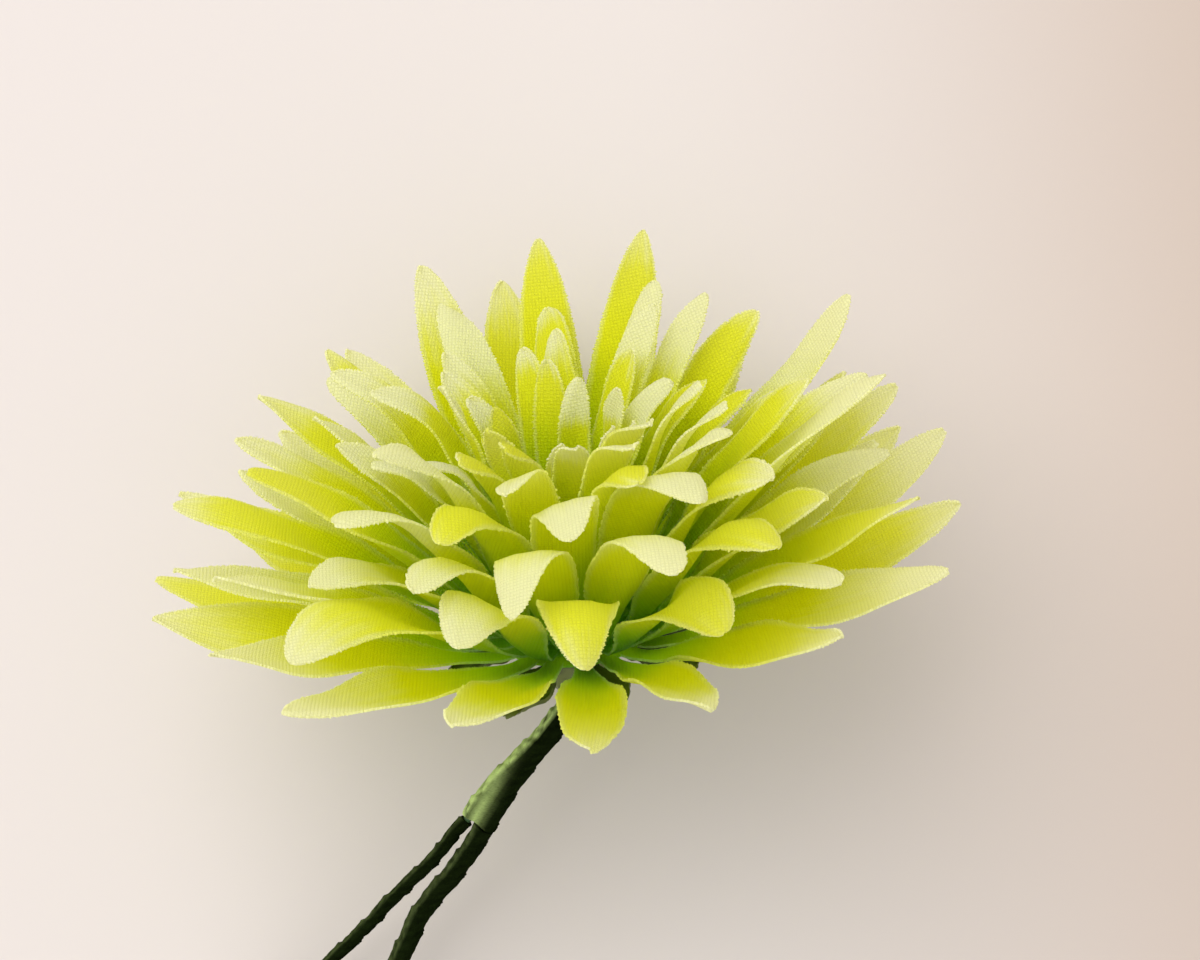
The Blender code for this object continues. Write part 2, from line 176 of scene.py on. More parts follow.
# Outline of a petal, as shares of its length and largest width, and how its sides curve
WIDEST_AT = 0.56
FOOT_WIDTH = 0.26
FOOT_CURVE = 1.7
SHARP_CURVE = 1.9
BLUNT_CURVE = 2.6
THINNEST = 0.10 * MM

# How petals stray: the share of length they may lack, their lean as a share of length, and in degrees
# the twist of pointed and of blunt ones and the part of it that follows the way they face
SHORTFALL = 0.22
LEAN = 0.05
POINTED_FROM = 0.3
POINTED_TWIST = 22
BLUNT_TWIST = 32
FACING_TWIST = 12

# Heights of the cloth's ripples in millimetres, and how softly the table bends a petal
FRILL = 0.22
SWELL = 0.13
CREASE = 0.16
PRESS_SOFTNESS = 0.5 * MM

# Columns of a petal's mesh from edge to edge, stations of its curve, and seeds for looks and fray
ACROSS = np.array([-1.0, -0.72, -0.36, 0.0, 0.36, 0.72, 1.0])
STATIONS = 241
LOOKS_SEED = 9000
FRAY_SEED = 500

# The calyx's cup: radius and height of its rings in millimetres, and its ribs
CUP_PROFILE = (
    (1.62, -0.55),
    (3.1, -0.75),
    (3.0, -1.3),
    (2.7, -2.4),
    (2.35, -3.6),
    (1.95, -4.5),
    (1.6, -4.8),
)
CUP_SIDES = 48
CUP_RIB = 0.04
CALYX_WALL = 0.35 * MM

# Finishes: socket values of the surfaces, depths of their relief, and colours that aren't settings
CLOTH_FINISH = {
    "Roughness": 0.6,
    "Specular IOR Level": 0.2,
    "Sheen Weight": 0.05,
    "Sheen Roughness": 0.35,
    "Sheen Tint": (1.0, 1.0, 0.86, 1),
}
TAPE_FINISH = {"Specular IOR Level": 0.0}
TABLE_FINISH = {"Roughness": 0.85, "Specular IOR Level": 0.2}
THREAD_RELIEF = 0.07 * MM
CREPE_RELIEF = 0.09 * MM
WEAR_RELIEF = 0.03 * MM
GAP_SHADE = 0.22
PIN_GREEN = (0.20, 0.42, 0.04)
PIN_DULL = (0.13, 0.30, 0.03)
WIRE_LACQUER = (0.035, 0.11, 0.025)
WIRE_RUBBED = (0.16, 0.17, 0.13)

# The table, where along x the shade painted into its colour begins and ends, and the light that falls on it
TABLE_HALF = 1.6
PAINTED_SHADE_FROM = 0.012
PAINTED_SHADE_TO = 0.10
WINDOW_PLACE = (-0.66, 0.86, 1.5)
WINDOW_SIZE = (2.0, 1.8)
WINDOW_AIM = (0, 0, 0.02)
WINDOW_COLOUR = (1.0, 0.975, 0.95)
AIR_COLOUR = (1.0, 0.975, 0.965, 1)

# The photograph's view: pixels for each metre at the hub, the hub's pixel, and the camera's place
PHOTO_WIDTH = 1200
PHOTO_HEIGHT = 960
SCALE = 11500.0
HUB_PIXEL = (575, 637)
DISTANCE = 0.42
VIEW_RISE = math.radians(27)
VIEW_ROLL = math.radians(5)
SENSOR_WIDTH = 36


# Shapes of the petals


def bloom_matrix():
    """From the bloom's own frame, with its axis along +Z, to the table's."""
    return Matrix.Translation(HUB) @ Matrix.Rotation(AXIS_RISE - math.pi / 2, 4, "X")


def smooth_step(x):
    x = np.clip(x, 0.0, 1.0)
    return x * x * (3 - 2 * x)


def petal_outline(t, point):
    """Half width at fraction t of the length, as a share of the largest half width."""
    rise = np.sin(np.clip(t / WIDEST_AT, 0, 1) * math.pi / 2) ** FOOT_CURVE
    rise = FOOT_WIDTH + (1 - FOOT_WIDTH) * rise
    fall = np.clip((t - WIDEST_AT) / (1 - WIDEST_AT), 0, 1)
    sharp = 1 - fall**SHARP_CURVE
    blunt = np.sqrt(np.clip(1 - fall**BLUNT_CURVE, 0, 1))
    return rise * (point * sharp + (1 - point) * blunt)


@dataclass
class Pose:
    """How one petal stands. tone and wave are drawn for the looks alone."""

    azimuth: float
    lift: float
    tip: float
    lean: float
    twist: float
    share: float
    point: float
    tone: float
    wave: float


def raised(azimuth):
    """How much higher the lowest petals stand at this azimuth than on average."""
    table = np.array(LOWEST, float)
    return np.interp(azimuth, table[:, 0], table[:, 1], period=360.0) - WHORLS[0].lift


def front_share(azimuth):
    """0 for a petal on the side that lies on the table, 1 for one on the other side."""
    return 0.5 - 0.5 * math.cos(math.radians(azimuth - BACKWARD))


def petal_poses(whorl):
    """The petals of a disc, evenly spaced with seeded strays."""
    draw = np.random.default_rng(whorl.seed)
    looks = np.random.default_rng(whorl.seed + LOOKS_SEED)
    poses = []
    for k in range(whorl.count):
        if whorl.name == "petal_whorl_1":
            azimuth, lift, tip, share = LOWEST[k]
        else:
            azimuth = whorl.phase + 360.0 * k / whorl.count + draw.uniform(-1, 1) * whorl.turn
            upper = front_share(azimuth) ** 4
            lower = (1 - front_share(azimuth)) ** 2
            lift = whorl.lift + whorl.follow * raised(azimuth)
            lift += whorl.front * upper + whorl.back * lower
            tip = whorl.tip - whorl.roll * upper
            share = 1 - SHORTFALL * draw.random()
        lift += draw.uniform(-1, 1) * whorl.stray
        tip += draw.uniform(-1, 1) * whorl.curl
        lean = draw.uniform(-1, 1) * LEAN * whorl.length
        twist = draw.uniform(-1, 1) * (POINTED_TWIST if whorl.point > POINTED_FROM else BLUNT_TWIST)
        twist += FACING_TWIST * math.cos(math.radians(azimuth))
        blunt = 1 - 0.9 * min(1.0, max(0.0, -tip / 80))
        point = float(np.clip(whorl.point * blunt + draw.uniform(-0.25, 0.15), 0, 1))
        tone, wave = looks.random(), looks.random()
        poses.append(Pose(azimuth, lift, tip, lean, twist, share, point, tone, wave))
    return poses


class PetalSheet:
    """The middle sheet of one petal, as points for any share t of its length and u across it."""

    def __init__(self, whorl, pose):
        self.whorl, self.pose = whorl, pose
        self.length = whorl.length * pose.share * MM
        fine = np.linspace(0, 1, STATIONS)
        slope = pose.lift + whorl.bow * (fine - 0.5) + pose.tip * smooth_step((fine - 0.6) / 0.4)
        slope = np.radians(slope) * smooth_step(fine * self.length / (2.0 * MM))
        step = self.length / (len(fine) - 1)
        out = whorl.disc * MM + np.concatenate([[0], np.cumsum(np.cos(slope)[:-1])]) * step
        rise = np.concatenate([[0], np.cumsum(np.sin(slope)[:-1])]) * step
        self.line = fine, out, rise, slope

    def half(self, t):
        width = self.whorl.width * (0.4 + 0.6 * min(1.0, self.pose.share + 0.1)) * MM
        return np.maximum(width / 2 * petal_outline(t, self.pose.point), THINNEST)

    def points(self, t, u):
        """Arrays t and u give a grid of points, (len(t), len(u), 3), in the bloom's frame."""
        whorl, pose = self.whorl, self.pose
        fine, *columns = self.line
        out, rise, slope = (np.interp(t, fine, c) for c in columns)
        half = self.half(t)
        cup = whorl.cup * MM * smooth_step(t / 0.35) * half / (whorl.width / 2 * MM)
        cup *= 1 - (0.8 + min(0.8, max(0.0, -pose.tip / 100))) * smooth_step((t - 0.45) / 0.35)
        turn = np.radians(pose.twist) * smooth_step(t)
        none = np.zeros_like(t)
        above = np.stack([-np.sin(slope), none, np.cos(slope)], axis=1)
        across = np.array([0.0, 1.0, 0.0])
        left = across * np.cos(turn)[:, None] + above * np.sin(turn)[:, None]
        top = above * np.cos(turn)[:, None] - across * np.sin(turn)[:, None]
        middle = np.stack([out, pose.lean * MM * t**2, rise], axis=1)
        grown = smooth_step(t / 0.3)[:, None]
        frill = np.sin(math.tau * (2.6 * t[:, None] + pose.wave) + 1.4 * u) * np.abs(u) ** 3
        swell = np.sin(math.tau * (1.3 * t[:, None] + 0.4 * u + pose.tone)) * smooth_step(t / 0.5)[:, None]
        crease = np.exp(-((u / 0.22) ** 2)) * (0.3 + 0.7 * pose.tone)
        ripple = FRILL * frill + SWELL * swell - CREASE * crease * (1 - 0.6 * t[:, None])
        lift = cup[:, None] * u**2 + MM * grown * ripple
        grid = middle[:, None] + left[:, None] * (half[:, None] * u)[..., None]
        grid = grid + top[:, None] * lift[..., None]
        a = math.radians(pose.azimuth)
        spin = np.array([[math.cos(a), -math.sin(a), 0], [math.sin(a), math.cos(a), 0], [0, 0, 1]])
        return grid @ spin.T

    def flat(self, t, u):
        """The same points on the sheet of cloth before it was shaped, as (x, y) in metres."""
        a = math.radians(self.pose.azimuth)
        far = self.whorl.disc * MM + self.length * t[:, None] + 0 * u
        side = self.half(t)[:, None] * u
        x = far * math.cos(a) - side * math.sin(a)
        y = far * math.sin(a) + side * math.cos(a)
        return np.stack([x, y], axis=2)


def press_on_table(points, low):
    """Bends what would pass through the table flat onto it. The result is in the table's frame."""
    to_table = np.array(bloom_matrix())
    laid = points @ to_table[:3, :3].T + to_table[:3, 3]
    laid[:, 2] = low + PRESS_SOFTNESS * np.logaddexp(0.0, (laid[:, 2] - low) / PRESS_SOFTNESS)
    return laid


def die_cut_sheet(whorl, height, thread, fray, row):
    """Points, faces and maps of a disc whose petals have woven, slightly frayed edges.

    The map "cloth" is the flat cloth in centimetres, "petal" is the place along and across a petal,
    and "tone" is a number for each petal.
    """
    poses = petal_poses(whorl)
    draw = np.random.default_rng(whorl.seed + FRAY_SEED)
    count = len(poses)
    ring = [math.radians(whorl.phase + 360.0 * k / count) for k in range(count)]
    points = [np.array([[math.cos(a) * DISC_HOLE, math.sin(a) * DISC_HOLE, 0.0] for a in ring])]
    cloth = [points[0][:, :2].copy()]
    along = [np.zeros(count)]
    across = [np.zeros(count)]
    tone = [np.full(count, 0.5)]
    faces = []
    used = count
    firsts, lasts = [], []
    columns = len(ACROSS)
    for pose in poses:
        sheet = PetalSheet(whorl, pose)
        rows = max(8, round(sheet.length / row))
        t = 1 - (1 - np.linspace(0, 1, rows + 1)) ** 1.5
        grid = sheet.points(t, ACROSS)
        start = used
        points.append(grid.reshape(-1, 3))
        cloth.append(sheet.flat(t, ACROSS).reshape(-1, 2))
        along.append(np.repeat(t, columns))
        across.append(np.tile(ACROSS, rows + 1))
        used += len(t) * columns
        firsts.append(start)
        lasts.append(start + columns - 1)
        cuts = [2 * round((b - a) * sheet.length / thread) + 1 for a, b in zip(t, t[1:])]
        for i in range(rows):
            for j in range(1, columns - 2):
                a, b = start + columns * i + j, start + columns * (i + 1) + j
                faces.append((a, b, b + 1, a + 1))
        for side in (-1.0, 1.0):
            edge = 0 if side < 0 else columns - 1
            inner = 1 if side < 0 else columns - 2
            tooth = 1
            for i in range(rows):
                more = np.linspace(t[i], t[i + 1], cuts[i] + 2)[1:-1]
                teeth = []
                if len(more):
                    pair = sheet.points(more, np.array([side, side * 0.9]))
                    outward = pair[:, 0] - pair[:, 1]
                    outward /= np.linalg.norm(outward, axis=1)[:, None] + 1e-12
                    signs = tooth * (-1.0) ** np.arange(len(more))
                    tooth = -signs[-1]
                    reach = fray * (signs * 0.5 + 0.3 * draw.normal(size=len(more)))
                    fade = smooth_step(more / 0.2) * smooth_step((1.02 - more) / 0.06)
                    points.append(pair[:, 0] + outward * (reach * fade)[:, None])
                    cloth.append(sheet.flat(more, np.array([side]))[:, 0])
                    along.append(more)
                    across.append(np.full(len(more), side))
                    teeth = list(range(used, used + len(more)))
                    used += len(more)
                here, there = start + columns * i, start + columns * (i + 1)
                if side < 0:
                    faces.append((here + edge, *teeth, there + edge, there + inner, here + inner))
                else:
                    faces.append((here + inner, there + inner, there + edge, *teeth[::-1], here + edge))
        tone.append(np.full(used - start, pose.tone))
    for k in range(count):
        after = (k + 1) % count
        first = firsts[k]
        faces += [(k, first + j, first + j + 1) for j in range(columns - 1)]
        faces += [(k, lasts[k], after), (lasts[k], firsts[after], after)]
    points = np.concatenate(points) + (0, 0, height)
    maps = {
        "cloth": np.concatenate(cloth) * 100,
        "petal": np.stack([np.concatenate(along), np.concatenate(across) / 2 + 0.5], axis=1),
        "tone": np.stack([np.concatenate(tone)] * 2, axis=1),
    }
    return points, faces, maps


# Meshes and materials


def mesh_piece(name, points, faces, maps, material):
    """A piece from points in the table's frame, with each map given as a value for each point."""
    mesh = bpy.data.meshes.new(name)
    mesh.from_pydata(points.tolist(), [], faces)
    corners = np.empty(len(mesh.loops), int)
    mesh.loops.foreach_get("vertex_index", corners)
    for key, values in maps.items():
        layer = mesh.uv_layers.new(name=key)
        layer.uv.foreach_set("vector", values[corners].ravel())
    mesh.update()
    mesh.shade_smooth()
    piece = bpy.data.objects.new(name, mesh)
    bpy.context.scene.collection.objects.link(piece)
    mesh.materials.append(material)
    return piece


def thicken(piece, thickness):
    """Gives a sheet its thickness, with crisp edges."""
    solid = piece.modifiers.new("thickness", "SOLIDIFY")
    solid.thickness = thickness
    solid.offset = 0.0
    solid.use_even_offset = False
    settle(piece)


def settle(piece, crisp=55):
    """Applies the modifiers and marks the crisp edges."""
    graph = bpy.context.evaluated_depsgraph_get()
    done = bpy.data.meshes.new_from_object(piece.evaluated_get(graph))
    piece.modifiers.clear()
    piece.data = done
    done.set_sharp_from_angle(angle=math.radians(crisp))


class Nodes:
    """Short calls for a node tree."""

    def __init__(self, tree):
        self.tree = tree

    def add(self, kind, **values):
        node = self.tree.nodes.new(kind)
        for key, value in values.items():
            setattr(node, key, value)
        return node

    def put(self, socket, value):
        if isinstance(value, bpy.types.NodeSocket):
            self.tree.links.new(value, socket)
        else:
            socket.default_value = value

    def math(self, operation, a, b=0.0, clamp=False):
        node = self.add("ShaderNodeMath", operation=operation, use_clamp=clamp)
        self.put(node.inputs[0], a)
        self.put(node.inputs[1], b)
        return node.outputs[0]

    def times(self, a, b, clamp=False):
        return self.math("MULTIPLY", a, b, clamp)

    def plus(self, a, b, clamp=False):
        return self.math("ADD", a, b, clamp)

    def minus(self, a, b):
        return self.math("SUBTRACT", a, b)

    def mix(self, share, a, b, blend="MIX"):
        node = self.add("ShaderNodeMix", data_type="RGBA", blend_type=blend)
        self.put(node.inputs[0], share)
        self.put(node.inputs[6], a)
        self.put(node.inputs[7], b)
        return node.outputs[2]

    def ease(self, value, low, high, to_low=0.0, to_high=1.0):
        node = self.add("ShaderNodeMapRange", interpolation_type="SMOOTHSTEP")
        for k, v in enumerate((value, low, high, to_low, to_high)):
            self.put(node.inputs[k], v)
        return node.outputs[0]

    def noise(self, vector, scale, detail=2.0, rough=0.5):
        node = self.add("ShaderNodeTexNoise")
        self.put(node.inputs["Vector"], vector)
        self.put(node.inputs["Scale"], scale)
        self.put(node.inputs["Detail"], detail)
        self.put(node.inputs["Roughness"], rough)
        return node.outputs[0]

    def parts(self, vector):
        node = self.add("ShaderNodeSeparateXYZ")
        self.put(node.inputs[0], vector)
        return node.outputs[0], node.outputs[1], node.outputs[2]

    def join(self, x, y, z=0.0):
        node = self.add("ShaderNodeCombineXYZ")
        for k, v in enumerate((x, y, z)):
            self.put(node.inputs[k], v)
        return node.outputs[0]

    def map(self, name):
        return self.add("ShaderNodeUVMap", uv_map=name).outputs[0]

    def place(self):
        return self.add("ShaderNodeTexCoord").outputs["Object"]


def shader_group(name, inputs, outputs):
    """A new node group, with its tree, input sockets and output node."""
    group = bpy.data.node_groups.new(name, "ShaderNodeTree")
    for label, kind, value in inputs:
        socket = group.interface.new_socket(label, in_out="INPUT", socket_type=kind)
        socket.default_value = value
    for label, kind in outputs:
        group.interface.new_socket(label, in_out="OUTPUT", socket_type=kind)
    nodes = Nodes(group)
    return nodes, nodes.add("NodeGroupInput").outputs, nodes.add("NodeGroupOutput").inputs


FLOAT = "NodeSocketFloat"
COLOUR = "NodeSocketColor"
VECTOR = "NodeSocketVector"


def use_group(nodes, name, **values):
    """Places a group in a material. Underscores in the names of values stand for spaces."""
    node = nodes.add("ShaderNodeGroup", node_tree=bpy.data.node_groups[name])
    for key, value in values.items():
        nodes.put(node.inputs[key.replace("_", " ")], value)
    return node.outputs


def make_weave_group():
    """Plain weave on the flat cloth, with Threads to the centimetre: their height and the gaps between."""
    if "plain_weave" in bpy.data.node_groups:
        return
    inputs = [("Cloth", VECTOR, (0, 0, 0)), ("Threads", FLOAT, 40.0), ("Waver", FLOAT, 0.004)]
    nodes, given, out = shader_group("plain_weave", inputs, [("Height", FLOAT), ("Gap", FLOAT)])
    x, y, _ = nodes.parts(given["Cloth"])
    drift = nodes.minus(nodes.noise(given["Cloth"], 9.0), 0.5)
    drift = nodes.times(drift, given["Waver"])
    turn = nodes.times(given["Threads"], math.pi)
    warp = nodes.math("SINE", nodes.times(nodes.plus(x, drift), turn))
    weft = nodes.math("SINE", nodes.times(nodes.minus(y, drift), turn))
    over = nodes.ease(nodes.times(warp, weft), -0.25, 0.25)
    warp = nodes.math("ABSOLUTE", warp)
    weft = nodes.math("ABSOLUTE", weft)
    upper = nodes.times(warp, over)
    lower = nodes.times(weft, nodes.minus(1.0, over))
    nodes.put(out["Height"], nodes.plus(upper, lower))
    gap = nodes.times(nodes.math("MINIMUM", warp, weft), 1.6, clamp=True)
    nodes.put(out["Gap"], nodes.minus(1.0, gap))


def make_dye_group():
    """Colour of a dyed petal, from its deep base to its pale tip, uneven as brushed dye is."""
    if "petal_dye" in bpy.data.node_groups:
        return
    inputs = [
        ("Petal", VECTOR, (0, 0, 0)),
        ("Cloth", VECTOR, (0, 0, 0)),
        ("Tone", FLOAT, 0.5),
        ("Root", COLOUR, (0, 0, 0, 1)),
        ("Base", COLOUR, (0, 0, 0, 1)),
        ("Middle", COLOUR, (0, 0, 0, 1)),
        ("Tip", COLOUR, (0, 0, 0, 1)),
        ("Green Until", FLOAT, 0.5),
        ("Pale From", FLOAT, 0.5),
        ("Pale At", FLOAT, 1.0),
    ]
    nodes, given, out = shader_group("petal_dye", inputs, [("Color", COLOUR)])
    along, across, _ = nodes.parts(given["Petal"])
    blot = nodes.minus(nodes.noise(given["Cloth"], 1.6, 3.0), 0.5)
    streak = nodes.join(nodes.times(along, 1.5), nodes.times(across, 14.0), given["Tone"])
    streak = nodes.minus(nodes.noise(streak, 1.0, 2.0), 0.5)
    shift = nodes.plus(nodes.times(blot, 0.35), nodes.times(streak, 0.22))
    shift = nodes.plus(shift, nodes.times(nodes.minus(given["Tone"], 0.5), 0.22))
    place = nodes.plus(along, shift)
    colour = nodes.mix(nodes.ease(place, -0.02, 0.20), given["Root"], given["Base"])
    colour = nodes.mix(nodes.ease(place, 0.12, given["Green Until"]), colour, given["Middle"])
    spread = nodes.times(nodes.minus(given["Tone"], 0.5), 0.25)
    pale = nodes.ease(nodes.plus(place, spread), given["Pale From"], given["Pale At"])
    rim = nodes.math("ABSOLUTE", nodes.minus(across, 0.5))
    pale = nodes.plus(pale, nodes.ease(rim, 0.40, 0.5, 0.0, 0.35), clamp=True)
    nodes.put(out["Color"], nodes.mix(pale, colour, given["Tip"]))


def make_crepe_group():
    """Crepe paper: fine wrinkles across the tape, a mottled waxy colour, and a pale colour where it is
    stretched thin and where a rim light is painted on.
    """
    if "crepe_paper" in bpy.data.node_groups:
        return
    inputs = [
        ("Wrap", VECTOR, (0, 0, 0)),
        ("Web", FLOAT, 0.0),
        ("Dark", COLOUR, (0, 0, 0, 1)),
        ("Light", COLOUR, (0, 0, 0, 1)),
        ("Stretched", COLOUR, (0, 0, 0, 1)),
    ]
    outputs = [("Color", COLOUR), ("Height", FLOAT), ("Roughness", FLOAT)]
    nodes, given, out = shader_group("crepe_paper", inputs, outputs)
    x, y, _ = nodes.parts(given["Wrap"])
    stretched = nodes.join(nodes.times(x, 9.0), nodes.times(y, 1.4))
    fine = nodes.noise(stretched, 3.2, 3.0, 0.6)
    blot = nodes.noise(given["Wrap"], 0.9, 3.0, 0.6)
    share = nodes.plus(nodes.times(fine, 0.6), nodes.times(blot, 0.6))
    share = nodes.ease(share, 0.42, 0.82)
    colour = nodes.mix(share, given["Dark"], given["Light"])
    # Pale where the tape is stretched and where a rim light is painted on, broken up by the wrinkles
    web = nodes.times(given["Web"], nodes.ease(fine, 0.25, 0.6, 0.6, 1.0))
    nodes.put(out["Color"], nodes.mix(web, colour, given["Stretched"]))
    nodes.put(out["Height"], fine)
    nodes.put(out["Roughness"], nodes.ease(blot, 0.3, 0.7, 0.5, 0.78))


def make_wear_group():
    """Uneven shade and polish of a lacquered or moulded surface."""
    if "handled_surface" in bpy.data.node_groups:
        return
    inputs = [
        ("Place", VECTOR, (0, 0, 0)),
        ("Scale", FLOAT, 900.0),
        ("Clean", COLOUR, (0, 0, 0, 1)),
        ("Worn", COLOUR, (0, 0, 0, 1)),
        ("Polish", FLOAT, 0.4),
    ]
    outputs = [("Color", COLOUR), ("Height", FLOAT), ("Roughness", FLOAT)]
    nodes, given, out = shader_group("handled_surface", inputs, outputs)
    broad = nodes.noise(given["Place"], given["Scale"], 4.0, 0.6)
    fine = nodes.noise(given["Place"], nodes.times(given["Scale"], 6.0), 2.0)
    nodes.put(out["Color"], nodes.mix(nodes.ease(broad, 0.42, 0.75), given["Clean"], given["Worn"]))
    nodes.put(out["Height"], nodes.plus(nodes.times(broad, 0.7), nodes.times(fine, 0.3)))
    nodes.put(out["Roughness"], nodes.plus(given["Polish"], nodes.ease(broad, 0.3, 0.8, -0.06, 0.16)))


def fresh_material(name, finish):
    """A material, its node calls and its Principled surface, whose sockets are set as finish says."""
    material = bpy.data.materials.new(name)
    material.use_nodes = True
    surface = material.node_tree.nodes["Principled BSDF"]
    for key, value in finish.items():
        surface.inputs[key].default_value = value
    return material, Nodes(material.node_tree), surface


def bump(nodes, height, distance, strength):
    node = nodes.add("ShaderNodeBump")
    node.inputs["Strength"].default_value = strength
    node.inputs["Distance"].default_value = distance
    nodes.put(node.inputs["Height"], height)
    return node.outputs[0]


def petal_material(name, level, dyes):
    """Dyed, woven and slightly see-through cloth. Inner discs are deeper in colour."""
    make_weave_group()
    make_dye_group()
    material, nodes, surface = fresh_material(name, CLOTH_FINISH)
    cloth = nodes.map("cloth")
    petal = nodes.map("petal")
    tone, _, _ = nodes.parts(nodes.map("tone"))
    inner = level / (len(WHORLS) - 1)
    weave = use_group(nodes, "plain_weave", Cloth=cloth, Threads=CM / dyes.thread)
    dye = use_group(
        nodes,
        "petal_dye",
        Petal=petal,
        Cloth=cloth,
        Tone=tone,
        Root=(*dyes.root, 1),
        Base=(*dyes.base, 1),
        Middle=(*dyes.middle, 1),
        Tip=(*dyes.tip, 1),
        Green_Until=0.50 + 0.40 * inner,
        Pale_From=0.62 + 0.25 * inner,
        Pale_At=1.02 - 0.04 * inner,
    )
    shade = nodes.minus(1.0, nodes.times(weave["Gap"], GAP_SHADE))
    shade = nodes.join(shade, shade, shade)
    nodes.put(surface.inputs["Base Color"], nodes.mix(1.0, dye["Color"], shade, "MULTIPLY"))
    threads = bump(nodes, weave["Height"], THREAD_RELIEF, 0.8)
    nodes.put(surface.inputs["Normal"], threads)
    through = nodes.add("ShaderNodeBsdfTranslucent")
    along, _, _ = nodes.parts(petal)
    ramp = nodes.add("ShaderNodeValToRGB")
    ramp.color_ramp.interpolation = "EASE"
    stops = [(0.0, dyes.glow_base), (0.45, dyes.glow_middle), (1.0, dyes.glow_tip)]
    while len(ramp.color_ramp.elements) < len(stops):
        ramp.color_ramp.elements.new(0.5)
    for element, (at, colour) in zip(ramp.color_ramp.elements, stops):
        element.position = at
        element.color = (*colour, 1)
    nodes.put(ramp.inputs[0], along)
    nodes.put(through.inputs["Color"], ramp.outputs[0])
    nodes.put(through.inputs["Normal"], threads)
    both = nodes.add("ShaderNodeMixShader")
    both.inputs[0].default_value = dyes.see_through
    nodes.put(both.inputs[1], surface.outputs[0])
    nodes.put(both.inputs[2], through.outputs[0])
    output = material.node_tree.nodes["Material Output"]
    nodes.put(output.inputs["Surface"], both.outputs[0])
    return material


def tape_material(name, tape):
    """Waxed crepe paper, paler where it is stretched, and with a rim light painted pale along one side."""
    make_crepe_group()
    material, nodes, surface = fresh_material(name, TAPE_FINISH)
    web, _, _ = nodes.parts(nodes.map("web"))
    crepe = use_group(
        nodes,
        "crepe_paper",
        Wrap=nodes.map("wrap"),
        Web=web,
        Dark=(*tape.dark, 1),
        Light=(*tape.light, 1),
        Stretched=(*tape.stretched, 1),
    )
    nodes.put(surface.inputs["Base Color"], crepe["Color"])
    nodes.put(surface.inputs["Roughness"], crepe["Roughness"])
    nodes.put(surface.inputs["Normal"], bump(nodes, crepe["Height"], CREPE_RELIEF, 0.8))
    return material


def worn_material(name, clean, worn, polish):
    """Lacquer or moulded plastic that handling has dulled in places."""
    make_wear_group()
    material, nodes, surface = fresh_material(name, {})
    wear = use_group(
        nodes,
        "handled_surface",
        Place=nodes.place(),
        Scale=900.0,
        Clean=(*clean, 1),
        Worn=(*worn, 1),
        Polish=polish,
    )
    nodes.put(surface.inputs["Base Color"], wear["Color"])
    nodes.put(surface.inputs["Roughness"], wear["Roughness"])
    nodes.put(surface.inputs["Normal"], bump(nodes, wear["Height"], WEAR_RELIEF, 0.6))
    return material


# Routes of the wires and what is wound round them


def distances(route):
    """How far along the route each of its points is."""
    return np.concatenate([[0], np.cumsum(np.linalg.norm(np.diff(route, axis=0), axis=1))])


def smooth_route(points, step):
    """A Catmull-Rom curve through the points, sampled about every step."""
    p = np.array(points, float)
    p = np.vstack([2 * p[0] - p[1], p, 2 * p[-1] - p[-2]])
    fine = []
    for i in range(1, len(p) - 2):
        s = np.linspace(0, 1, 24, endpoint=False)[:, None]
        a, b, c, d = p[i - 1 : i + 3]
        square = (2 * a - 5 * b + 4 * c - d) * s**2
        cube = (3 * b - a - 3 * c + d) * s**3
        fine.append(0.5 * (2 * b + (c - a) * s + square + cube))
    fine = np.vstack([*fine, p[-2:-1]])
    return part_of(fine, 0, distances(fine)[-1], step)


def part_of(route, start, stop, step):
    """Even stations between two distances along a route."""
    far = distances(route)
    even = np.linspace(start, stop, max(2, round((stop - start) / step) + 1))
    return np.column_stack([np.interp(even, far, route[:, k]) for k in range(3)])


def route_frames(route):
    """A sideways and an upward direction at each point, square to the route."""
    along = np.gradient(route, distances(route), axis=0)
    along /= np.linalg.norm(along, axis=1)[:, None]
    side = np.cross(along, (0, 0, 1))
    side /= np.linalg.norm(side, axis=1)[:, None]
    return side, np.cross(side, along)


def stem_routes(step):
    """Routes of the stem wire and the side wire, and how far the tape's mouth has opened along it."""
    axis = np.array(bloom_matrix().to_3x3() @ Vector((0, 0, 1)))
    wire_top = PIN_BORE_TOP - 0.4 * MM
    top = HUB + axis * wire_top
    low = HUB + axis * (PIN_BOTTOM + 0.6 * MM)
    stem = smooth_route([top, low, *[HUB + np.array(p) * MM for p in STEM_ROUTE]], step)
    neck_end = wire_top - NECK_BOTTOM + 0.2 * MM
    tape = part_of(stem, neck_end, FORK, step)
    beside, _ = route_frames(tape)
    steps = len(tape) - 1
    opened = smooth_step((np.arange(steps + 1) / steps - 0.35) / 0.65)
    inside = [tape[i] + beside[i] * WIRES_APART * opened[i] for i in (round(steps * 0.85), steps)]
    side = smooth_route([*inside, *[HUB + np.array(p) * MM for p in SIDE_ROUTE]], step)
    start = float(np.linalg.norm(inside[1] - inside[0])) + 0.5 * MM
    leg = part_of(stem, FORK + 0.2 * MM, distances(stem)[-1] - BARE_END, step)
    side_leg = part_of(side, start, distances(side)[-1] - BARE_END, step)
    return stem, side, tape, opened, leg, side_leg


